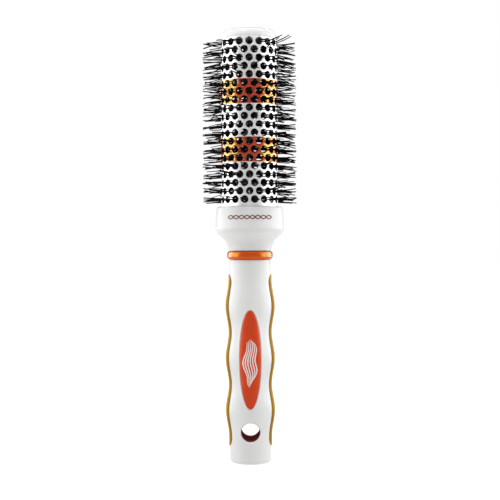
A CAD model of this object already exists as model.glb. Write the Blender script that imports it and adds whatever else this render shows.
"""Looks of the round barrel brush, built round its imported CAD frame.

Metres, +Z up along the brush from the flat butt, badge towards -Y.
"""

import math
import random

import bmesh
import bpy
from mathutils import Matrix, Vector


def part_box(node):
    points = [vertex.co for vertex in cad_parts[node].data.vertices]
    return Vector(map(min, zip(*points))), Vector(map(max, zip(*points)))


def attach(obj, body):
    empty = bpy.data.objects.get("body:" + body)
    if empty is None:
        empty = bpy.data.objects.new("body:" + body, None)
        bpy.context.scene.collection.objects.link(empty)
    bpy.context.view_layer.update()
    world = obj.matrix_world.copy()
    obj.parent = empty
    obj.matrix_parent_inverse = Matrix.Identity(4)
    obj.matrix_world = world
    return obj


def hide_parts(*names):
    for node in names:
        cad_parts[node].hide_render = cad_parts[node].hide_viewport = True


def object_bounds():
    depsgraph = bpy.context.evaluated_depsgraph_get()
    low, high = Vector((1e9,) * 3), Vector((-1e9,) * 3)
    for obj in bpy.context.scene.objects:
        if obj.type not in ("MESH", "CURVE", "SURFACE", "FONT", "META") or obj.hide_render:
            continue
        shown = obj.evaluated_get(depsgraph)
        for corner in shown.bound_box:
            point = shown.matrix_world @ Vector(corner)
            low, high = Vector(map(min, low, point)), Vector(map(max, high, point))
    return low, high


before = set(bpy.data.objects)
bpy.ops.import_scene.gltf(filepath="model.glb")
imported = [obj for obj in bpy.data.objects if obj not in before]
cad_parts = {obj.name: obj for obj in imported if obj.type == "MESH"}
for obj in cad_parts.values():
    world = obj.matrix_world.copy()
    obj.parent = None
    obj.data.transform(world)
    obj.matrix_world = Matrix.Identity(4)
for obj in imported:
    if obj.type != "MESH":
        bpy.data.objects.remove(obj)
cad_low, cad_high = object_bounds()

# Lengths are in metres, apart from those whose names end in _MM.
MM = 0.001
UP = Vector((0, 0, 1))
FRONT = math.radians(-90)
LEFT = math.radians(180)
RIGHT = 0.0


def height_ends(node):
    """Lowest and highest Z of a CAD node."""
    low_corner, high_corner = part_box(node)
    return low_corner[2], high_corner[2]


# Studio: radiance of the surround and the lights, and where they stand
CAMERA_PLACE = (0.00006, -0.64, 0.1196)
CAMERA_ROLL = math.radians(0.23)
CAMERA_LENS = 81.6
AIM = Vector((0, 0, 0.12))
LIGHT_FACING = 0.3
LIGHT_FROM_SIDES = 0.92
LIGHT_FROM_BELOW = 1.02
BELOW_FADE = (-0.03, -0.3)
BACKDROP = 1.0
FLOOR_GLOW = 0.78
SIDE_PLACE = (0.6, 0, 0.15)
SIDE_SIZE = (0.12, 0.5)
SIDE_RADIANCE = 3.8
PANEL_BACK = 0.13
PANEL_SIZE = (0.94, 0.9)
PANEL_RADIANCE = 7.0
TOP_PLACE = (0, -0.28, 0.9)
TOP_SIZE = (0.5, 0.5)
TOP_RADIANCE = 5.0

# Barrel: read from the frame, with the hole pattern's own pitches
TUBE_LOW, TUBE_HIGH = height_ends("barrel_tube")
BARREL_RADIUS = (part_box("barrel_tube")[1][0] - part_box("barrel_tube")[0][0]) / 2
BARREL_WALL = 0.8 * MM
HOLES_AROUND = 18
HOLE_ROWS = 20
HOLE_PITCH = math.tau / HOLES_AROUND
HOLE_RADIUS = 2.08 * MM
HOLE_RIM = 0.16 * MM
ROW_PITCH = 4.6 * MM
TOP_ROW = TUBE_HIGH - 2.7 * MM
HOLES_MARGIN = 0.35 * MM
LOWEST_CELL = 2.5 * MM
TUBE_CHAMFER = 0.15 * MM
BAND_ROWS = ((6, 8), (13, 15))  # first and last row of each band, counted from 1 at the top

# Bristles and wire
WIRE_PITCH = 2 * ROW_PITCH
WIRE_RADIUS = 0.9 * MM
WIRE_OFFSET = 1.75 * MM
WIRE_END_GAP = 0.7 * MM
WIRE_STEPS_PER_TURN = 16
WIRE_SIDES = 12
BRISTLE_ROOT = 1.3 * MM
BRISTLE_REACH = 26.6 * MM
BRISTLE_RADIUS = 0.21 * MM
BRISTLE_TAPER = 0.1
BRISTLE_BLUNTING = 0.8
BRISTLE_SIDES = 5
BRISTLE_STEPS = 6
BRISTLE_DROOP = 0.012
TUFTS_PER_HOLE = (2, 2, 3)
TUFT_OFFSET_MM = (0.3, 1.3)
STRANDS_PER_TUFT = 3
ROOT_CROWDING = 0.4
LEAN_SPREAD = 0.5 * MM
LIFT_SPREAD = 0.6 * MM
HOLE_TRIM = 0.45 * MM
STRAND_TRIM = 0.3 * MM
STANDING_ROWS = 2  # top rows in which some bristles stand up, between two turns in degrees
STANDING_TURNS = (20, 90)
STANDING_LIFT_MM = (1.0, 3.5)

# Cap, collar and ring
WIRE_SOCKET_RADIUS = 3.1 * MM
CAP_RADIUS = 15.9 * MM
CAP_SHOULDER = 6 * MM
CAP_CROWN = 0.4 * MM
CAP_DOME_MM = ((5.5, 0.1), (9, 0.28))
CAP_TOP_WALL = 1.6 * MM
CAP_SOCKET_WALL = 2.2 * MM
CAP_SKIRT_RADIUS = 14.9 * MM
CAP_SKIRT_BORE = 13.3 * MM
CAP_BOSS_RADIUS = 4.8 * MM
CAP_RIM_LIFT = 0.04 * MM
CAP_RIM_CHAMFER = 0.06 * MM
FINE_CHAMFER = 0.1 * MM
SEAM_ANGLE = 44  # degrees up from straight out, round the shoulder
SEAM_HALF_ANGLE = 2.0
SEAM_DEPTH = 0.42 * MM
COLLAR_BORE = 16.3 * MM
COLLAR_BORE_CHAMFER = 0.2 * MM
COLLAR_LIP_RADIUS = 17.5 * MM
COLLAR_ROUNDING = 1.2 * MM
COLLAR_WALL_TOP = (18.95 * MM, 139.5 * MM)
COLLAR_WALL_LOW = (19.15 * MM, 136 * MM)
COLLAR_WALL_SLOPE = 0.0571
COLLAR_FLANK_MM = (
    (19.28, 133.2), (19.2, 131.2), (18.5, 129.5), (16.3, 127.3),
    (14.3, 125.3), (13.1, 123.2), (12.4, 121.2),
)
COLLAR_NECK_RADIUS = 12.05 * MM
RING_RADIUS = 12.9 * MM
RING_ROUNDING = 1.9 * MM
RING_GROWTH = 0.15 * MM

# Handle
HANDLE_HIGH = height_ends("handle_shell")[1]
HANDLE_RADIUS = 11.58 * MM
SHELL_SIDES = 288
SHELL_STEP = 0.45 * MM
SHELL_FINE_STEP = 0.25 * MM
SHELL_FINE_REACH = 8 * MM
BUTT_STEPS = 8
TOP_CHAMFER = 0.12 * MM
TOP_CHAMFER_BULGE = 0.035 * MM
CORE_RADIUS = 9.6 * MM
CORE_CHAMFER = 0.5 * MM
PLUG_RADIUS = 14.9 * MM
SOCKET_FLOOR = 122 * MM
GAP = 0.3 * MM
BORE_RADIUS = CORE_RADIUS + GAP
BORE_FLOOR = 6 * MM
WAVE_LOW_END = 15 * MM
WAVE_LENGTH = 29.2 * MM
WAVE_COUNT = 3
WAVE_HIGH_END = WAVE_LOW_END + WAVE_COUNT * WAVE_LENGTH
WAVE_RISE = 1.74 * MM
BELLY_START = 4 * MM
BELLY_RISE = 0.8 * MM
BELLY_RAMP = 12 * MM
BUTT_ROUNDING = 2.2 * MM

# Hanging hole, with its dark lining
HANG_HOLE_HEIGHT = 18.2 * MM
HANG_HOLE_RADIUS = 5.2 * MM
HANG_HOLE_FILLET = 0.7 * MM
LINING_WALL = 0.15 * MM
LINING_SINK = HANG_HOLE_FILLET + 0.05 * MM
CUT_RADIUS = HANG_HOLE_RADIUS + LINING_WALL
HANG_HOLE_SIDES = 96
PIN_REACH = 20 * MM

# Pieces let into the handle
GRIP_LOW_END, GRIP_HIGH_END = height_ends("side_grip_left")
GRIP_HALF_WIDTH = 5.2 * MM
GRIP_CROWN = 0.6 * MM
BADGE_LOW, BADGE_HIGH = height_ends("front_badge")
BADGE_MIDDLE = (BADGE_LOW + BADGE_HIGH) / 2
BADGE_HALF_LENGTH = 27.4 * MM
BADGE_HALF_WIDTH = 6.1 * MM
BADGE_ROUNDNESS = 2.05
BADGE_CROWN = 0.3 * MM
POCKET_DEPTH = 0.9 * MM
POCKET_GAP = 0.15 * MM
POCKET_EDGE = 0.3 * MM
LIP_WIDTH = 1.1 * MM
LIP_HEIGHT = 0.14 * MM
INLAY_ROUNDING = 0.55 * MM
INLAY_EDGE_DROP = 0.45 * MM
INLAY_CLEARANCE = 0.1 * MM
INLAY_END_GAP = 0.02 * MM

# Printed motifs
COLLAR_MOTIF_HEIGHT = 137.7 * MM
COLLAR_MOTIF_HALF_LENGTH = 12 * MM
PLAIT_SWING = 0.95 * MM
PLAIT_WAVE = 6 * MM
PLAIT_HALF_STROKE = 0.29 * MM
PLAIT_THICKNESS = 0.04 * MM
PLAIT_LAYER = 0.03 * MM
PLAIT_STEPS = 144
LOCK_STRANDS = 6
LOCK_RISE = 11.5 * MM
LOCK_RISE_SPREAD = 3.5 * MM
LOCK_DROP = 15.5 * MM
LOCK_DROP_SPREAD = 5 * MM
LOCK_WIDTH = 6.6 * MM
LOCK_SWING = 0.75 * MM
LOCK_WAVES = 1.6
LOCK_HALF_STROKE = 0.36 * MM
LOCK_THICKNESS = 0.05 * MM
LOCK_STEPS = 48


# ---------------------------------------------------------------- studio


def make_camera():
    data = bpy.data.cameras.new("camera")
    data.lens = CAMERA_LENS
    data.sensor_width = 36
    data.clip_start = 0.01
    camera = bpy.data.objects.new("camera", data)
    camera.location = CAMERA_PLACE
    camera.rotation_euler = (math.radians(90), CAMERA_ROLL, 0)
    bpy.context.scene.collection.objects.link(camera)
    bpy.context.scene.camera = camera


def area_light(name, place, target, size, radiance, gloss_only=False):
    """A soft rectangular light. With gloss_only it shows in reflections and lights nothing."""
    data = bpy.data.lights.new(name, "AREA")
    data.shape = "RECTANGLE"
    data.size, data.size_y = size
    data.energy = radiance * math.pi * size[0] * size[1]
    light = bpy.data.objects.new(name, data)
    light.location = place
    light.rotation_euler = (Vector(target) - Vector(place)).to_track_quat("-Z", "Y").to_euler()
    light.visible_camera = False
    light.visible_diffuse = not gloss_only
    bpy.context.scene.collection.objects.link(light)


def ramp_node(nodes, source_ends, target_ends):
    """A smooth ramp from one range of values to another."""
    ramp = nodes.new("ShaderNodeMapRange")
    ramp.interpolation_type = "SMOOTHSTEP"
    ramp.inputs["From Min"].default_value, ramp.inputs["From Max"].default_value = source_ends
    ramp.inputs["To Min"].default_value, ramp.inputs["To Max"].default_value = target_ends
    return ramp


def make_surround():
    """A white backdrop. Its light is strongest from the two sides, softer from front and back."""
    world = bpy.data.worlds.new("surround")
    bpy.context.scene.world = world
    world.use_nodes = True
    nodes, links = world.node_tree.nodes, world.node_tree.links
    nodes.clear()
    place = nodes.new("ShaderNodeTexCoord")
    split = nodes.new("ShaderNodeSeparateXYZ")
    depth = nodes.new("ShaderNodeMath")
    depth.operation = "ABSOLUTE"
    around = ramp_node(nodes, (1, 0), (LIGHT_FACING, LIGHT_FROM_SIDES))
    below = ramp_node(nodes, BELOW_FADE, (0, 1))
    light = nodes.new("ShaderNodeMix")
    light.inputs["B"].default_value = LIGHT_FROM_BELOW
    path = nodes.new("ShaderNodeLightPath")
    shown = nodes.new("ShaderNodeMix")
    shown.inputs["B"].default_value = BACKDROP
    back = nodes.new("ShaderNodeBackground")
    back.inputs["Color"].default_value = (1, 1, 1, 1)
    out = nodes.new("ShaderNodeOutputWorld")
    links.new(place.outputs["Generated"], split.inputs[0])
    links.new(split.outputs["Y"], depth.inputs[0])
    links.new(depth.outputs[0], around.inputs["Value"])
    links.new(split.outputs["Z"], below.inputs["Value"])
    links.new(below.outputs["Result"], light.inputs["Factor"])
    links.new(around.outputs["Result"], light.inputs["A"])
    links.new(path.outputs["Is Camera Ray"], shown.inputs["Factor"])
    links.new(light.outputs["Result"], shown.inputs["A"])
    links.new(shown.outputs["Result"], back.inputs["Strength"])
    links.new(back.outputs[0], out.inputs[0])


def make_floor():
    bm = bmesh.new()
    bmesh.ops.create_circle(bm, cap_ends=True, segments=64, radius=6)
    mesh = bpy.data.meshes.new("floor")
    bm.to_mesh(mesh)
    bm.free()
    floor = bpy.data.objects.new("floor", mesh)
    floor.location.z = cad_low.z - 0.05 * MM
    bpy.context.scene.collection.objects.link(floor)
    material, shader = new_material("floor_white", (0.4, 0.4, 0.4), 0.8)
    shader.inputs["Specular IOR Level"].default_value = 0.1
    shader.inputs["Emission Color"].default_value = (1, 1, 1, 1)
    shader.inputs["Emission Strength"].default_value = FLOOR_GLOW
    mesh.materials.append(material)
    floor.visible_diffuse = False


def make_studio():
    """The surround, a pale floor, soft lights at the sides and above, and panels to reflect."""
    bpy.context.scene.view_settings.view_transform = "Standard"
    make_surround()
    make_floor()
    back = Vector((0, PANEL_BACK, 0))
    for name, side in (("left", -1), ("right", 1)):
        x, y, z = SIDE_PLACE
        place = Vector((x * side, y, z))
        area_light(f"side_light_{name}", place, AIM, SIDE_SIZE, SIDE_RADIANCE)
        area_light(
            f"panel_{name}", place + back, AIM + back, PANEL_SIZE, PANEL_RADIANCE, gloss_only=True
        )
    area_light("top_light", TOP_PLACE, AIM, TOP_SIZE, TOP_RADIANCE)


# ---------------------------------------------------------------- materials


def new_material(name, colour, roughness, metallic=0.0):
    material = bpy.data.materials.new(name)
    material.use_nodes = True
    shader = material.node_tree.nodes["Principled BSDF"]
    shader.inputs["Base Color"].default_value = (*colour, 1)
    shader.inputs["Roughness"].default_value = roughness
    shader.inputs["Metallic"].default_value = metallic
    return material, shader


def add_noise(material, scale, detail=3.0):
    nodes = material.node_tree.nodes
    place = nodes.new("ShaderNodeTexCoord")
    noise = nodes.new("ShaderNodeTexNoise")
    noise.inputs["Scale"].default_value = scale
    noise.inputs["Detail"].default_value = detail
    material.node_tree.links.new(place.outputs["Object"], noise.inputs["Vector"])
    return noise


def mottle(material, shader, scale, dark, light):
    """Slight unevenness of colour, from one tone to another."""
    noise = add_noise(material, scale)
    ramp = material.node_tree.nodes.new("ShaderNodeValToRGB")
    ramp.color_ramp.elements[0].position = 0.3
    ramp.color_ramp.elements[0].color = (*dark, 1)
    ramp.color_ramp.elements[1].position = 0.7
    ramp.color_ramp.elements[1].color = (*light, 1)
    material.node_tree.links.new(noise.outputs[0], ramp.inputs[0])
    material.node_tree.links.new(ramp.outputs[0], shader.inputs["Base Color"])
    return ramp


def vary_roughness(material, shader, scale, low, high):
    noise = add_noise(material, scale, 4.0)
    ramp = material.node_tree.nodes.new("ShaderNodeMapRange")
    ramp.inputs["To Min"].default_value = low
    ramp.inputs["To Max"].default_value = high
    material.node_tree.links.new(noise.outputs[0], ramp.inputs["Value"])
    material.node_tree.links.new(ramp.outputs["Result"], shader.inputs["Roughness"])


def add_bump(material, shader, scale, distance, strength=0.5):
    noise = add_noise(material, scale, 2.0)
    bump = material.node_tree.nodes.new("ShaderNodeBump")
    bump.inputs["Strength"].default_value = strength
    bump.inputs["Distance"].default_value = distance
    material.node_tree.links.new(noise.outputs[0], bump.inputs["Height"])
    material.node_tree.links.new(bump.outputs[0], shader.inputs["Normal"])


def white_plastic():
    material, shader = new_material("white_plastic", (0.8, 0.8, 0.79), 0.38)
    mottle(material, shader, 90, (0.78, 0.78, 0.775), (0.82, 0.82, 0.81))
    shader.inputs["Specular IOR Level"].default_value = 0.13
    vary_roughness(material, shader, 400, 0.32, 0.44)
    add_bump(material, shader, 1500, 0.01 * MM, 0.3)
    return material


def ceramic_coating():
    """Pale glossy ceramic over metal."""
    material, shader = new_material("ceramic_coating", (0.96, 0.96, 0.95), 0.36, 0.2)
    mottle(material, shader, 300, (0.93, 0.93, 0.92), (0.97, 0.97, 0.96))
    shader.inputs["Specular IOR Level"].default_value = 0.2
    vary_roughness(material, shader, 600, 0.3, 0.42)
    add_bump(material, shader, 2500, 0.006 * MM, 0.3)
    return material


def bare_metal():
    """The dull dark inside of the tube."""
    material, shader = new_material("bare_metal", (0.008, 0.008, 0.008), 0.6)
    mottle(material, shader, 400, (0.005, 0.005, 0.005), (0.011, 0.011, 0.011))
    shader.inputs["Specular IOR Level"].default_value = 0.15
    return material


def orange_lacquer(name, colour, roughness, index, gloss):
    """Red lacquer with a golden gloss."""
    material, shader = new_material(name, colour, roughness)
    dark = tuple(part * 0.9 for part in colour)
    mottle(material, shader, 250, dark, colour)
    shader.inputs["IOR"].default_value = index
    shader.inputs["Specular Tint"].default_value = (*gloss, 1)
    add_bump(material, shader, 900, 0.008 * MM, 0.3)
    return material


def soft_grip():
    """Amber rubber, deeper in colour along its edges, where it is let in."""
    material, shader = new_material("amber_grip", (0.4, 0.2, 0.03), 0.5)
    shader.inputs["Specular IOR Level"].default_value = 0.04
    nodes, links = material.node_tree.nodes, material.node_tree.links
    place = nodes.new("ShaderNodeTexCoord")
    split = nodes.new("ShaderNodeSeparateXYZ")
    across = nodes.new("ShaderNodeMath")
    across.operation = "ABSOLUTE"
    ramp = ramp_node(nodes, (2.2 * MM, 4.4 * MM), (0, 1))
    noise = add_noise(material, 180)
    tone = nodes.new("ShaderNodeMix")
    tone.data_type = "RGBA"
    tone.inputs["A"].default_value = (0.56, 0.33, 0.02, 1)
    tone.inputs["B"].default_value = (0.64, 0.40, 0.03, 1)
    edge = nodes.new("ShaderNodeMix")
    edge.data_type = "RGBA"
    edge.inputs["B"].default_value = (0.30, 0.155, 0.008, 1)
    links.new(place.outputs["Object"], split.inputs[0])
    links.new(split.outputs["Y"], across.inputs[0])
    links.new(across.outputs[0], ramp.inputs["Value"])
    links.new(noise.outputs[0], tone.inputs["Factor"])
    links.new(ramp.outputs["Result"], edge.inputs["Factor"])
    links.new(tone.outputs["Result"], edge.inputs["A"])
    links.new(edge.outputs["Result"], shader.inputs["Base Color"])
    add_bump(material, shader, 2600, 0.02 * MM, 0.4)
    return material


def copper_print():
    material, shader = new_material("copper_print", (0.18, 0.06, 0.02), 0.45)
    mottle(material, shader, 900, (0.14, 0.045, 0.015), (0.22, 0.08, 0.025))
    shader.inputs["Specular IOR Level"].default_value = 0.2
    return material


def pale_print():
    material, shader = new_material("pale_print", (0.85, 0.75, 0.72), 0.5)
    mottle(material, shader, 900, (0.8, 0.7, 0.67), (0.9, 0.8, 0.77))
    shader.inputs["Specular IOR Level"].default_value = 0.2
    return material


def brown_plastic():
    material, shader = new_material("brown_plastic", (0.36, 0.125, 0.11), 0.7)
    mottle(material, shader, 200, (0.32, 0.11, 0.10), (0.40, 0.14, 0.125))
    shader.inputs["Specular IOR Level"].default_value = 0.0
    add_bump(material, shader, 1200, 0.015 * MM, 0.4)
    return material


def black_nylon():
    material, shader = new_material("black_nylon", (0.003, 0.003, 0.003), 0.4)
    mottle(material, shader, 500, (0.002, 0.002, 0.002), (0.005, 0.005, 0.005))
    shader.inputs["Specular IOR Level"].default_value = 0.03
    vary_roughness(material, shader, 900, 0.32, 0.5)
    return material


def steel_wire():
    material, shader = new_material("steel_wire", (0.05, 0.05, 0.05), 0.45, 1.0)
    mottle(material, shader, 700, (0.035, 0.035, 0.036), (0.06, 0.06, 0.06))
    add_bump(material, shader, 2000, 0.01 * MM, 0.4)
    return material


# ---------------------------------------------------------------- piece helpers


def shade(mesh, sharp_angle):
    """Smooth shading, with sharp edges over an angle in degrees."""
    mesh.shade_smooth()
    mesh.set_sharp_from_angle(angle=math.radians(sharp_angle))


def mesh_piece(name, mesh, material, slot, *nodes, smooth_angle=40):
    shade(mesh, smooth_angle)
    mesh.materials.append(material)
    piece = bpy.data.objects.new(name, mesh)
    bpy.context.scene.collection.objects.link(piece)
    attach(piece, "root")
    if nodes:
        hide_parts(*nodes)
    return piece


def finished_mesh(bm, name):
    bmesh.ops.recalc_face_normals(bm, faces=bm.faces)
    if bm.calc_volume(signed=True) < 0:
        bmesh.ops.reverse_faces(bm, faces=bm.faces)
    mesh = bpy.data.meshes.new(name)
    bm.to_mesh(mesh)
    bm.free()
    return mesh


def skin_loops(bm, loops, closed_ends=False):
    """Quads from each loop of points to the next one, and a face over each end if asked."""
    for lower, upper in zip(loops, loops[1:]):
        for index in range(len(lower)):
            after = (index + 1) % len(lower)
            bm.faces.new((lower[index], lower[after], upper[after], upper[index]))
    if closed_ends:
        bm.faces.new(loops[0])
        bm.faces.new(loops[-1])


def circle_turns(sides):
    return [math.tau * side / sides for side in range(sides)]


def round_loop(bm, middle, across, upward, radius, sides):
    """A loop of points round a place on a line, in the plane of two directions."""
    loop = []
    for turn in circle_turns(sides):
        right, up = radius * math.cos(turn), radius * math.sin(turn)
        loop.append(bm.verts.new(middle + across * right + upward * up))
    return loop


def smooth_line(points, steps):
    """A Catmull-Rom line through the points, in steps for each span."""
    padded = [points[0], *points, points[-1]]
    line = []
    for index in range(1, len(padded) - 2):
        before, start, end, after = (Vector(point) for point in padded[index - 1 : index + 3])
        for step in range(steps):
            t = step / steps
            line.append(
                0.5 * (
                    2 * start
                    + (end - before) * t
                    + (2 * before - 5 * start + 4 * end - after) * t**2
                    + (3 * start - before - 3 * end + after) * t**3
                )
            )
    line.append(Vector(points[-1]))
    return [tuple(point) for point in line]


def arc(centre_radius, centre_height, radius, start, end, steps):
    """Points of a round stretch of a profile, at angles in degrees from straight out."""
    angles = [math.radians(start + (end - start) * step / steps) for step in range(steps + 1)]
    return [
        (centre_radius + radius * math.cos(angle), centre_height + radius * math.sin(angle))
        for angle in angles
    ]


def turned_mesh(name, profile, sides=144):
    """A closed profile of (radius, height) turned about Z. Points on the axis become poles."""
    bm = bmesh.new()
    columns = []
    for radius, height in profile:
        if radius == 0:
            columns.append([bm.verts.new((0, 0, height))])
            continue
        columns.append(
            [
                bm.verts.new((radius * math.cos(turn), radius * math.sin(turn), height))
                for turn in circle_turns(sides)
            ]
        )
    last = len(columns) - 1 if profile[0][0] == 0 else len(columns)
    for index in range(last):
        upper, lower = columns[index], columns[(index + 1) % len(columns)]
        for side in range(sides):
            after = (side + 1) % sides
            corners = [upper[side % len(upper)], upper[after % len(upper)]]
            corners += [lower[after % len(lower)], lower[side % len(lower)]]
            bm.faces.new(list(dict.fromkeys(corners)))
    return finished_mesh(bm, name)


# ---------------------------------------------------------------- barrel


def row_height(row):
    return TOP_ROW - row * ROW_PITCH


def hole_heading(row, count):
    """Direction of a hole from the axis. Every other row is turned by half a pitch."""
    return FRONT + (count + 0.5 * (row % 2)) * HOLE_PITCH


def cell_corners(row):
    """Corners of the six-sided cell round a hole, as (along the arc, up). End rows are straight."""
    half = BARREL_RADIUS * HOLE_PITCH / 2
    side = (ROW_PITCH**2 - half**2) / (2 * ROW_PITCH)
    point = ROW_PITCH - side
    top = TUBE_HIGH - HOLES_MARGIN - TOP_ROW
    if row == 0:
        return [(half, top), (-half, top), (-half, -side), (0, -point), (half, -side)]
    if row == HOLE_ROWS - 1:
        low = -LOWEST_CELL
        return [(half, side), (0, point), (-half, side), (-half, low), (half, low)]
    return [(half, side), (0, point), (-half, side), (-half, -side), (0, -point), (half, -side)]


def cell_outline(row):
    """24 points round the cell, the same on a side that two cells share."""
    corners = cell_corners(row)
    outline = []
    for index, start in enumerate(corners):
        end = corners[(index + 1) % len(corners)]
        level = abs(start[1] - end[1]) < 1e-9 and len(corners) == 5
        steps = 8 if level else 4
        for step in range(steps):
            t = step / steps
            along = start[0] + (end[0] - start[0]) * t
            outline.append((along, start[1] + (end[1] - start[1]) * t))
    return outline


def hole_rings():
    """Each ring's (radius round the hole, radius of the tube). None is the cell's outline."""
    inner_radius = BARREL_RADIUS - BARREL_WALL
    return [
        (None, BARREL_RADIUS),
        (HOLE_RADIUS + 2.6 * HOLE_RIM, BARREL_RADIUS),
        (HOLE_RADIUS + HOLE_RIM, BARREL_RADIUS),
        (HOLE_RADIUS + 0.3 * HOLE_RIM, BARREL_RADIUS - 0.3 * HOLE_RIM),
        (HOLE_RADIUS, BARREL_RADIUS - HOLE_RIM),
        (HOLE_RADIUS, inner_radius + HOLE_RIM),
        (HOLE_RADIUS + HOLE_RIM, inner_radius),
        (None, inner_radius),
    ]


def add_cell(bm, row, count):
    """One cell of the tube, from its outline through its rounded hole to the inner skin."""
    heading, height = hole_heading(row, count), row_height(row)
    loops = []
    for hole_radius, tube_radius in hole_rings():
        loop = []
        for along, up in cell_outline(row):
            if hole_radius is not None:
                bearing = math.atan2(up, along)
                along, up = hole_radius * math.cos(bearing), hole_radius * math.sin(bearing)
            angle = heading + along / BARREL_RADIUS
            x, y = tube_radius * math.cos(angle), tube_radius * math.sin(angle)
            loop.append(bm.verts.new((x, y, height + up)))
        loops.append(loop)
    skin_loops(bm, loops)


def grow_edges(bm, edges):
    """Extrudes open edges. Returns the new points and the new open edges."""
    grown = bmesh.ops.extrude_edge_only(bm, edges=edges)["geom"]
    points = [item for item in grown if isinstance(item, bmesh.types.BMVert)]
    edges = [item for item in grown if isinstance(item, bmesh.types.BMEdge)]
    return points, [edge for edge in edges if edge.is_boundary]


def close_tube_end(bm, end, sign):
    """A plain chamfered end, grown from the open edges of the outer and inner skins."""
    halfway = (TUBE_LOW + TUBE_HIGH) / 2
    edges = [
        edge for edge in bm.edges
        if edge.is_boundary and (edge.verts[0].co.z > halfway) == (sign > 0)
    ]
    points, edges = grow_edges(bm, edges)
    for point in points:
        point.co.z = end - sign * TUBE_CHAMFER
    points, edges = grow_edges(bm, edges)
    for point in points:
        outside = point.co.xy.length > BARREL_RADIUS - BARREL_WALL / 2
        inset = -TUBE_CHAMFER if outside else TUBE_CHAMFER
        stretch = 1 + inset / point.co.xy.length
        point.co = (point.co.x * stretch, point.co.y * stretch, end)
    bmesh.ops.bridge_loops(bm, edges=edges)


def make_barrel():
    """The perforated tube with its two coloured bands."""
    bm = bmesh.new()
    for row in range(HOLE_ROWS):
        for count in range(HOLES_AROUND):
            add_cell(bm, row, count)
    bmesh.ops.remove_doubles(bm, verts=bm.verts[:], dist=0.002 * MM)
    close_tube_end(bm, TUBE_HIGH, 1)
    close_tube_end(bm, TUBE_LOW, -1)
    paint_barrel(bm)
    mesh = finished_mesh(bm, "barrel")
    barrel = mesh_piece("barrel", mesh, ceramic_coating(), "ceramic_coating", "barrel_tube")
    mesh.materials.append(
        orange_lacquer("band_lacquer", (0.64, 0.003, 0.035), 0.2, 2.1, (1, 1, 0.17))
    )
    mesh.materials.append(bare_metal())
    return barrel


def paint_barrel(bm):
    """Faces of the two bands take the second material, and those of the inside the third."""
    bands = []
    for first, last in BAND_ROWS:
        high, low = row_height(first - 1.5), row_height(last - 0.5)
        bands.append((low, high))
        for height in (low, high):
            everything = bm.verts[:] + bm.edges[:] + bm.faces[:]
            bmesh.ops.bisect_plane(
                bm, geom=everything, plane_co=(0, 0, height), plane_no=(0, 0, 1), dist=0.01 * MM
            )
    for face in bm.faces:
        middle = face.calc_center_median()
        if middle.xy.length < BARREL_RADIUS - BARREL_WALL / 2:
            face.material_index = 2
        elif any(low < middle.z < high for low, high in bands):
            face.material_index = 1


# ---------------------------------------------------------------- bristles and wire


def twist_angle(height):
    return FRONT + math.tau * (height - TOP_ROW) / WIRE_PITCH


def add_filament(bm, line, radius):
    """A tapering round filament along a line of points, with a slightly blunted tip."""
    loops = []
    last = len(line) - 1
    for index, point in enumerate(line):
        ahead = line[min(index + 1, last)] - line[max(index - 1, 0)]
        across = ahead.cross(UP).normalized()
        size = radius * (1 - BRISTLE_TAPER * index / last)
        if index == last:
            size *= BRISTLE_BLUNTING
        upward = across.cross(ahead).normalized()
        loops.append(round_loop(bm, point, across, upward, size, BRISTLE_SIDES))
    skin_loops(bm, loops, closed_ends=True)


def bowed_line(root, through, tip):
    """Points of a gentle bow that starts at the root, crosses the hole and ends at the tip."""
    reach = (tip - root).length
    share = (through - root).length / reach
    line = []
    for step in range(BRISTLE_STEPS + 1):
        t = step / BRISTLE_STEPS
        from_root = (t - share) * (t - 1) / share
        from_hole = t * (t - 1) / (share * (share - 1))
        from_tip = t * (t - share) / (1 - share)
        line.append(root * from_root + through * from_hole + tip * from_tip)
    return line


def add_hole_bristles(bm, chance, row, heading):
    """The tufts of one hole share a lean, and each tuft and strand strays a little from it."""
    out = Vector((math.cos(heading), math.sin(heading), 0))
    side = Vector((-math.sin(heading), math.cos(heading), 0))
    height = row_height(row)
    turn = (math.degrees(heading - FRONT) + 90) % 180 - 90
    root_height = height + turn / 180 * ROW_PITCH

    def place(outward, sideways, level):
        return out * outward + side * sideways + UP * level

    lean, lift = chance.gauss(0, LEAN_SPREAD), chance.gauss(0, LIFT_SPREAD)
    lift -= BRISTLE_DROOP * (height - TUBE_LOW)
    if row < STANDING_ROWS and STANDING_TURNS[0] < turn < STANDING_TURNS[1]:
        lift += chance.uniform(*STANDING_LIFT_MM) * MM
    reach = BRISTLE_REACH - chance.random() ** 2 * HOLE_TRIM
    tufts = chance.choice(TUFTS_PER_HOLE)
    start = chance.random()
    for tuft in range(tufts):
        spin = math.tau * (start + (tuft + chance.uniform(-0.3, 0.3)) / tufts)
        off = chance.uniform(*TUFT_OFFSET_MM) * MM
        astray, aloft = chance.gauss(0, LEAN_SPREAD), chance.gauss(0, LIFT_SPREAD)
        for _ in range(STRANDS_PER_TUFT):
            across = off * math.cos(spin) + chance.uniform(-1, 1) * BRISTLE_RADIUS
            above = off * math.sin(spin) + chance.uniform(-1, 1) * BRISTLE_RADIUS
            root = place(BRISTLE_ROOT, ROOT_CROWDING * across, root_height + ROOT_CROWDING * above)
            through = place(BARREL_RADIUS, across, height + above)
            tip_reach = reach - chance.random() * STRAND_TRIM
            tip = place(tip_reach, across + lean + astray, height + above + lift + aloft)
            add_filament(bm, bowed_line(root, through, tip), BRISTLE_RADIUS)


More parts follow.
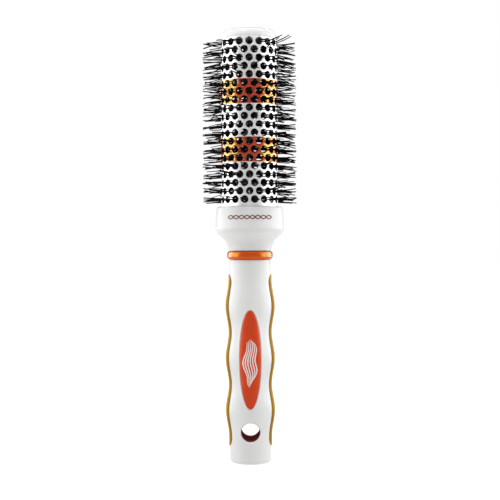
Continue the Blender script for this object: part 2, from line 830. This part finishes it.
def make_bristles(row, material):
    """The filaments of one row of holes. Some of the top two rows stand up on one side."""
    chance = random.Random(100 + row)
    bm = bmesh.new()
    for count in range(HOLES_AROUND):
        add_hole_bristles(bm, chance, row, hole_heading(row, count))
    name = f"bristles_{row + 1:02d}"
    mesh = finished_mesh(bm, name)
    return mesh_piece(name, mesh, material, "black_nylon", f"bristle_row_{row + 1:02d}")


def make_wire(name, side, material, node):
    """One strand of the twisted pair, on its own side of the axis."""
    low, high = height_ends(node)
    steps = round((high - low) / WIRE_PITCH * WIRE_STEPS_PER_TURN)
    line = []
    for step in range(steps + 1):
        height = low + WIRE_END_GAP + (high - low - 2 * WIRE_END_GAP) * step / steps
        angle = twist_angle(height) + side * math.pi / 2
        line.append(Vector((WIRE_OFFSET * math.cos(angle), WIRE_OFFSET * math.sin(angle), height)))
    bm = bmesh.new()
    loops = []
    for index, point in enumerate(line):
        ahead = (line[min(index + 1, steps)] - line[max(index - 1, 0)]).normalized()
        across = Vector((point.x, point.y, 0)).normalized()
        loops.append(round_loop(bm, point, across, ahead.cross(across), WIRE_RADIUS, WIRE_SIDES))
    skin_loops(bm, loops, closed_ends=True)
    return mesh_piece(name, finished_mesh(bm, name), material, "steel_wire", node)


# ---------------------------------------------------------------- cap, collar, ring, core


def cap_shoulder(height):
    """The cap's rounded shoulder, with a fine seam run round it."""
    middle = (CAP_RADIUS - CAP_SHOULDER, height)
    upper = arc(*middle, CAP_SHOULDER, 86, SEAM_ANGLE + SEAM_HALF_ANGLE, 8)
    groove = arc(*middle, CAP_SHOULDER - SEAM_DEPTH, SEAM_ANGLE + 0.5, SEAM_ANGLE - 0.5, 1)
    lower = arc(*middle, CAP_SHOULDER, SEAM_ANGLE - SEAM_HALF_ANGLE, 0, 8)
    return upper + groove + lower


def make_cap(material):
    """The domed cap: its skirt stands in the tube, and a boss inside holds the wire."""
    low, high = height_ends("end_cap")
    rim = TUBE_HIGH + CAP_RIM_LIFT
    shoulder = high - CAP_CROWN - CAP_SHOULDER
    ceiling = high - CAP_TOP_WALL
    socket = high - CAP_SOCKET_WALL
    profile = [(0, high), *((radius * MM, high - drop * MM) for radius, drop in CAP_DOME_MM)]
    profile += cap_shoulder(shoulder)
    profile += [(CAP_RADIUS, rim + CAP_RIM_CHAMFER), (CAP_RADIUS - CAP_RIM_CHAMFER, rim)]
    profile += [(CAP_SKIRT_RADIUS, rim), (CAP_SKIRT_RADIUS, low + FINE_CHAMFER)]
    profile += [(CAP_SKIRT_RADIUS - FINE_CHAMFER, low), (CAP_SKIRT_BORE, low)]
    profile += [(CAP_SKIRT_BORE, shoulder), (CAP_RADIUS - CAP_SHOULDER, ceiling)]
    profile += [(CAP_BOSS_RADIUS, ceiling), (CAP_BOSS_RADIUS, rim), (WIRE_SOCKET_RADIUS, rim)]
    profile += [(WIRE_SOCKET_RADIUS, socket), (0, socket)]
    mesh = turned_mesh("barrel_cap", profile)
    return mesh_piece("barrel_cap", mesh, material, "white_plastic", "end_cap", smooth_angle=30)


def make_collar(material):
    """The funnel-shaped collar: a nearly straight wall over a flank that narrows to the ring."""
    low, high = height_ends("collar")
    seat = TUBE_LOW - GAP
    profile = [(COLLAR_BORE, high - COLLAR_BORE_CHAMFER), (COLLAR_BORE + COLLAR_BORE_CHAMFER, high)]
    profile += arc(COLLAR_LIP_RADIUS, high - COLLAR_ROUNDING, COLLAR_ROUNDING, 90, 4, 8)
    profile += [COLLAR_WALL_TOP, COLLAR_WALL_LOW]
    flank = [(radius * MM, height * MM) for radius, height in COLLAR_FLANK_MM]
    profile += smooth_line([*flank, (COLLAR_NECK_RADIUS, low + FINE_CHAMFER)], 5)
    profile += [(COLLAR_NECK_RADIUS - FINE_CHAMFER, low), (BORE_RADIUS, low)]
    profile += [(BORE_RADIUS, seat), (COLLAR_BORE, seat)]
    mesh = turned_mesh("barrel_collar", profile)
    return mesh_piece("barrel_collar", mesh, material, "white_plastic", "collar", smooth_angle=30)


def make_ring(material):
    """The ring under the collar, a little taller than its CAD node."""
    low, high = height_ends("accent_ring")
    low, high = low - RING_GROWTH, high + RING_GROWTH
    middle = RING_RADIUS - RING_ROUNDING
    profile = [(BORE_RADIUS, high)]
    profile += arc(middle, high - RING_ROUNDING, RING_ROUNDING, 90, 0, 10)
    profile += arc(middle, low + RING_ROUNDING, RING_ROUNDING, 0, -90, 10)
    profile += [(BORE_RADIUS, low)]
    mesh = turned_mesh("orange_ring", profile)
    return mesh_piece("orange_ring", mesh, material, "orange_gloss", "accent_ring", smooth_angle=50)


def cut_with(piece, cutter_mesh):
    """Cuts a mesh out of a piece, and applies the cut."""
    cutter = bpy.data.objects.new("cutter", cutter_mesh)
    bpy.context.scene.collection.objects.link(cutter)
    boolean = piece.modifiers.new("cut", "BOOLEAN")
    boolean.object = cutter
    boolean.solver = "EXACT"
    bpy.context.view_layer.update()
    graph = bpy.context.evaluated_depsgraph_get()
    result = bpy.data.meshes.new_from_object(piece.evaluated_get(graph))
    piece.modifiers.clear()
    old = piece.data
    piece.data = result
    bpy.data.meshes.remove(old)
    bpy.data.objects.remove(cutter)


def cut_hanging_hole(piece):
    """Cuts a round pin along Y, longer than the handle is deep, out of a piece."""
    bm = bmesh.new()
    ends = []
    for y in (-PIN_REACH, PIN_REACH):
        loop = []
        for turn in circle_turns(HANG_HOLE_SIDES):
            x, up = CUT_RADIUS * math.cos(turn), CUT_RADIUS * math.sin(turn)
            loop.append(bm.verts.new((x, y, HANG_HOLE_HEIGHT + up)))
        ends.append(loop)
    skin_loops(bm, ends, closed_ends=True)
    cut_with(piece, finished_mesh(bm, "pin"))


# ---------------------------------------------------------------- handle


def side_reach(height):
    """Half-width of the handle, with three waves along its sides."""
    if not WAVE_LOW_END < height < WAVE_HIGH_END:
        return HANDLE_RADIUS
    phase = math.tau * (height - WAVE_LOW_END) / WAVE_LENGTH
    return HANDLE_RADIUS + WAVE_RISE * (1 - math.cos(phase)) / 2


def smooth_step(value):
    value = min(max(value, 0), 1)
    return value * value * (3 - 2 * value)


def front_reach(height):
    """Half-depth of the handle, which has a slight belly and no waves."""
    rise = smooth_step((height - BELLY_START) / BELLY_RAMP)
    fall = smooth_step((WAVE_HIGH_END - height) / BELLY_RAMP)
    return HANDLE_RADIUS + BELLY_RISE * rise * fall


def handle_point(angle, height, proud):
    x = (side_reach(height) + proud) * math.cos(angle)
    y = (front_reach(height) + proud) * math.sin(angle)
    return Vector((x, y, height))


def grip_half_angle(height):
    from_end = min(height - GRIP_LOW_END, GRIP_HIGH_END - height)
    inside = min(from_end / GRIP_HALF_WIDTH, 1)
    half_width = GRIP_HALF_WIDTH * math.sqrt(max(1 - (1 - inside) ** 2, 0))
    return half_width / HANDLE_RADIUS


def badge_half_angle(height):
    along = min(abs(height - BADGE_MIDDLE) / BADGE_HALF_LENGTH, 1)
    half_width = BADGE_HALF_WIDTH * (1 - along**BADGE_ROUNDNESS) ** (1 / BADGE_ROUNDNESS)
    return math.asin(half_width / side_reach(height))


def angle_from(angle, facing):
    return abs((angle - facing + math.pi) % math.tau - math.pi)


def inside_grip(angle, height):
    """How far a point of the surface lies inside the grip's outline, in metres."""
    sideways = min(angle_from(angle, LEFT), angle_from(angle, RIGHT)) * HANDLE_RADIUS
    low, high = GRIP_LOW_END + GRIP_HALF_WIDTH, GRIP_HIGH_END - GRIP_HALF_WIDTH
    along = max(low - height, height - high, 0)
    return GRIP_HALF_WIDTH - math.hypot(sideways, along)


def inside_badge(angle, height):
    """How far a point of the surface lies inside the badge's outline, roughly, in metres."""
    if angle_from(angle, FRONT) > math.pi / 2:
        return -1
    x = abs(side_reach(height) * math.cos(angle)) / BADGE_HALF_WIDTH
    z = abs(height - BADGE_MIDDLE) / BADGE_HALF_LENGTH
    level = (x**BADGE_ROUNDNESS + z**BADGE_ROUNDNESS) ** (1 / BADGE_ROUNDNESS)
    slope_x = (x / max(level, 1e-6)) ** (BADGE_ROUNDNESS - 1) / BADGE_HALF_WIDTH
    slope_z = (z / max(level, 1e-6)) ** (BADGE_ROUNDNESS - 1) / BADGE_HALF_LENGTH
    return (1 - level) / max(math.hypot(slope_x, slope_z), 1)


def shell_sink(angle, height):
    """How deep the white moulding dips for its pockets. A soft lip stands up round the badge."""
    in_badge = inside_badge(angle, height) + POCKET_GAP
    inside = max(inside_grip(angle, height) + POCKET_GAP, in_badge)
    lip = LIP_HEIGHT * (1 - smooth_step((-in_badge - 0.1 * MM) / LIP_WIDTH))
    return POCKET_DEPTH * smooth_step(inside / POCKET_EDGE + 0.2) - lip


def shell_heights():
    """Ring heights: fine everywhere, finest near the hanging hole."""
    heights = []
    z = BUTT_ROUNDING
    while z < HANDLE_HIGH - 0.5 * MM:
        heights.append(z)
        near_hole = abs(z - HANG_HOLE_HEIGHT) < SHELL_FINE_REACH
        z += SHELL_FINE_STEP if near_hole else SHELL_STEP
    return heights


def shell_rings(angles):
    """Points of each ring of the shell: the rounded butt, the waved body and the chamfered top."""
    rings = []
    for step in range(BUTT_STEPS):
        turn = math.radians(90 * step / BUTT_STEPS)
        inside = BUTT_ROUNDING * (1 - math.sin(turn))
        height = BUTT_ROUNDING * (1 - math.cos(turn))
        rings.append([handle_point(angle, height, -inside) for angle in angles])
    for height in shell_heights():
        rings.append([handle_point(angle, height, -shell_sink(angle, height)) for angle in angles])
    bulge = TOP_CHAMFER_BULGE
    for inset, drop in ((0, TOP_CHAMFER), (bulge, bulge), (TOP_CHAMFER, 0)):
        rings.append([handle_point(angle, HANDLE_HIGH - drop, -inset) for angle in angles])
    return rings


def round_hole_mouths(bm):
    """Draws the skin in round the hanging hole, front and back, so that its mouths are rounded."""
    mouth = CUT_RADIUS + HANG_HOLE_FILLET
    for corner in bm.verts:
        near = mouth - math.hypot(corner.co.x, corner.co.z - HANG_HOLE_HEIGHT)
        if near > 0 and abs(corner.co.y) > HANDLE_RADIUS / 2:
            near = min(near, HANG_HOLE_FILLET)
            drop = HANG_HOLE_FILLET - math.sqrt(HANG_HOLE_FILLET**2 - near**2)
            corner.co.y -= math.copysign(drop, corner.co.y)


def make_shell(material):
    """The white moulding of the handle: a fine waved skin with pockets, hole and bore."""
    angles = [math.tau * (side + 0.5) / SHELL_SIDES for side in range(SHELL_SIDES)]
    bm = bmesh.new()
    levels = [[bm.verts.new(point) for point in ring] for ring in shell_rings(angles)]
    skin_loops(bm, levels, closed_ends=True)
    round_hole_mouths(bm)
    mesh = finished_mesh(bm, "handle_body")
    shell = mesh_piece("handle_body", mesh, material, "white_plastic", "handle_shell")
    above = HANDLE_HIGH + 5 * MM
    bore = [(0, above), (BORE_RADIUS, above), (BORE_RADIUS, BORE_FLOOR), (0, BORE_FLOOR)]
    cut_with(shell, turned_mesh("bore", bore, 96))
    cut_hanging_hole(shell)
    shade(shell.data, 50)
    return shell


def make_core(material):
    """The brown moulding inside: it fills the handle, and its plug carries the barrel."""
    low, high = height_ends("handle_core")
    profile = [(0, SOCKET_FLOOR), (WIRE_SOCKET_RADIUS, SOCKET_FLOOR), (WIRE_SOCKET_RADIUS, high)]
    profile += [(PLUG_RADIUS - CORE_CHAMFER, high), (PLUG_RADIUS, high - CORE_CHAMFER)]
    profile += [(PLUG_RADIUS, TUBE_LOW), (CORE_RADIUS, TUBE_LOW), (CORE_RADIUS, low + CORE_CHAMFER)]
    profile += [(CORE_RADIUS - CORE_CHAMFER, low), (0, low)]
    mesh = turned_mesh("inner_core", profile, 96)
    core = mesh_piece("inner_core", mesh, material, "brown_plastic", "handle_core")
    cut_hanging_hole(core)
    shade(core.data, 40)
    return core


def make_hole_lining(material):
    """The dark sleeve of the hanging hole, from just under one face to just under the other."""
    bm = bmesh.new()
    loops = []
    for radius, facing in (
        (CUT_RADIUS, -1), (HANG_HOLE_RADIUS, -1), (HANG_HOLE_RADIUS, 1), (CUT_RADIUS, 1),
    ):
        loop = []
        for turn in circle_turns(HANG_HOLE_SIDES):
            x = radius * math.cos(turn)
            z = HANG_HOLE_HEIGHT + radius * math.sin(turn)
            depth = front_reach(z) * math.sqrt(1 - (x / side_reach(z)) ** 2) - LINING_SINK
            loop.append(bm.verts.new((x, facing * depth, z)))
        loops.append(loop)
    skin_loops(bm, loops + loops[:1])
    mesh = finished_mesh(bm, "hole_lining")
    return mesh_piece("hole_lining", mesh, material, "brown_plastic")


def inlay_level(facing, half_angle, height, end_near, crown, columns):
    """Points across an inlay at one height: its crowned top, then its underside back again."""
    top, under = [], []
    for column in range(columns + 1):
        across = math.sin(math.pi * (column / columns - 0.5))
        angle = facing + across * half_angle
        edge = min((1 - abs(across)) * half_angle * HANDLE_RADIUS, end_near)
        lift = crown * (1 - across**4)
        if edge < INLAY_ROUNDING:
            lift -= INLAY_EDGE_DROP * (1 - math.sqrt(1 - (1 - edge / INLAY_ROUNDING) ** 2))
        top.append(handle_point(angle, height, lift))
        under.append(handle_point(angle, height, INLAY_CLEARANCE - POCKET_DEPTH))
    return top + under[::-1]


def make_inlay(name, facing, half_angle_at, ends, crown, material, slot, node, rows, columns):
    """A crowned piece with rounded edges, let into the handle."""
    low, high = ends
    bm = bmesh.new()
    loops = []
    for row in range(rows + 1):
        height = (low + high) / 2 - (high - low) / 2 * math.cos(math.pi * row / rows)
        height = min(max(height, low + INLAY_END_GAP), high - INLAY_END_GAP)
        half_angle = max(half_angle_at(height), 0.004)
        end_near = min(height - low, high - height)
        level = inlay_level(facing, half_angle, height, end_near, crown, columns)
        loops.append([bm.verts.new(point) for point in level])
    skin_loops(bm, loops, closed_ends=True)
    return mesh_piece(name, finished_mesh(bm, name), material, slot, node, smooth_angle=60)


# ---------------------------------------------------------------- printed motifs


def collar_surface(x, z, proud):
    radius, height = COLLAR_WALL_TOP
    radius += (height - z) * COLLAR_WALL_SLOPE + proud
    return Vector((x, -math.sqrt(radius**2 - x**2), z))


def badge_surface(x, z, proud):
    angle = -math.acos(x / side_reach(z))
    across = min(abs(x) / BADGE_HALF_WIDTH, 1)
    return handle_point(angle, z, proud + BADGE_CROWN * (1 - across**4))


def add_strip(bm, left, right, surface, thickness):
    """A thin raised line between two edges, laid on a surface."""
    loops = []
    for (x0, z0), (x1, z1) in zip(left, right):
        corners = ((x0, z0, thickness), (x1, z1, thickness))
        corners += ((x1, z1, -2 * thickness), (x0, z0, -2 * thickness))
        loops.append([bm.verts.new(surface(x, z, proud)) for x, z, proud in corners])
    skin_loops(bm, loops, closed_ends=True)


def make_collar_motif():
    """A plait of two waving strands printed round the front of the collar."""
    bm = bmesh.new()
    for strand in range(2):
        left, right = [], []
        for step in range(PLAIT_STEPS + 1):
            x = COLLAR_MOTIF_HALF_LENGTH * (2 * step / PLAIT_STEPS - 1)
            phase = math.tau * x / PLAIT_WAVE + math.pi * strand
            z = COLLAR_MOTIF_HEIGHT + PLAIT_SWING * math.sin(phase)
            slope = PLAIT_SWING * math.cos(phase) * math.tau / PLAIT_WAVE
            off_x, off_z = Vector((-slope, 1)).normalized() * PLAIT_HALF_STROKE
            left.append((x - off_x, z - off_z))
            right.append((x + off_x, z + off_z))
        add_strip(bm, left, right, collar_surface, PLAIT_THICKNESS + strand * PLAIT_LAYER)
    mesh = finished_mesh(bm, "collar_motif")
    return mesh_piece("collar_motif", mesh, copper_print(), "orange_badge")


def make_badge_motif():
    """A lock of wavy strands printed down the badge."""
    bm = bmesh.new()
    for strand in range(LOCK_STRANDS):
        across = strand / (LOCK_STRANDS - 1) - 0.5
        high = BADGE_MIDDLE + LOCK_RISE - LOCK_RISE_SPREAD * abs(across)
        low = BADGE_MIDDLE - LOCK_DROP + LOCK_DROP_SPREAD * abs(across + 0.15)
        left, right = [], []
        for step in range(LOCK_STEPS + 1):
            t = step / LOCK_STEPS
            z = high + (low - high) * t
            middle = across * LOCK_WIDTH * math.sin(math.pi * (0.12 + 0.8 * t)) ** 0.7
            middle += LOCK_SWING * math.sin(math.tau * LOCK_WAVES * t + 0.5 * across)
            half = LOCK_HALF_STROKE * math.sin(math.pi * (0.04 + 0.92 * t)) ** 0.5
            left.append((middle - half, z))
            right.append((middle + half, z))
        add_strip(bm, left, right, badge_surface, LOCK_THICKNESS)
    mesh = finished_mesh(bm, "badge_motif")
    return mesh_piece("badge_motif", mesh, pale_print(), "white_plastic")


# ---------------------------------------------------------------- build

make_camera()
make_studio()
white = white_plastic()
nylon = black_nylon()
steel = steel_wire()
amber = soft_grip()

make_barrel()
make_cap(white)
for row in range(HOLE_ROWS):
    make_bristles(row, nylon)
make_wire("twisted_wire_a", 1, steel, "core_wire_a")
make_wire("twisted_wire_b", -1, steel, "core_wire_b")
make_collar(white)
make_ring(orange_lacquer("orange_gloss", (0.66, 0.055, 0.012), 0.24, 1.58, (1, 0.95, 0.05)))
make_shell(white)
brown = brown_plastic()
make_core(brown)
make_hole_lining(brown)
for name, facing in (("left", LEFT), ("right", RIGHT)):
    make_inlay(
        f"grip_{name}", facing, grip_half_angle, (GRIP_LOW_END, GRIP_HIGH_END), GRIP_CROWN,
        amber, "amber_grip", f"side_grip_{name}", 240, 24,
    )
make_inlay(
    "badge", FRONT, badge_half_angle, (BADGE_LOW, BADGE_HIGH), BADGE_CROWN,
    orange_lacquer("orange_badge", (0.66, 0.047, 0.016), 0.35, 1.42, (1, 0.7, 0.2)),
    "orange_badge", "front_badge", 120, 28,
)

make_collar_motif()
make_badge_motif()
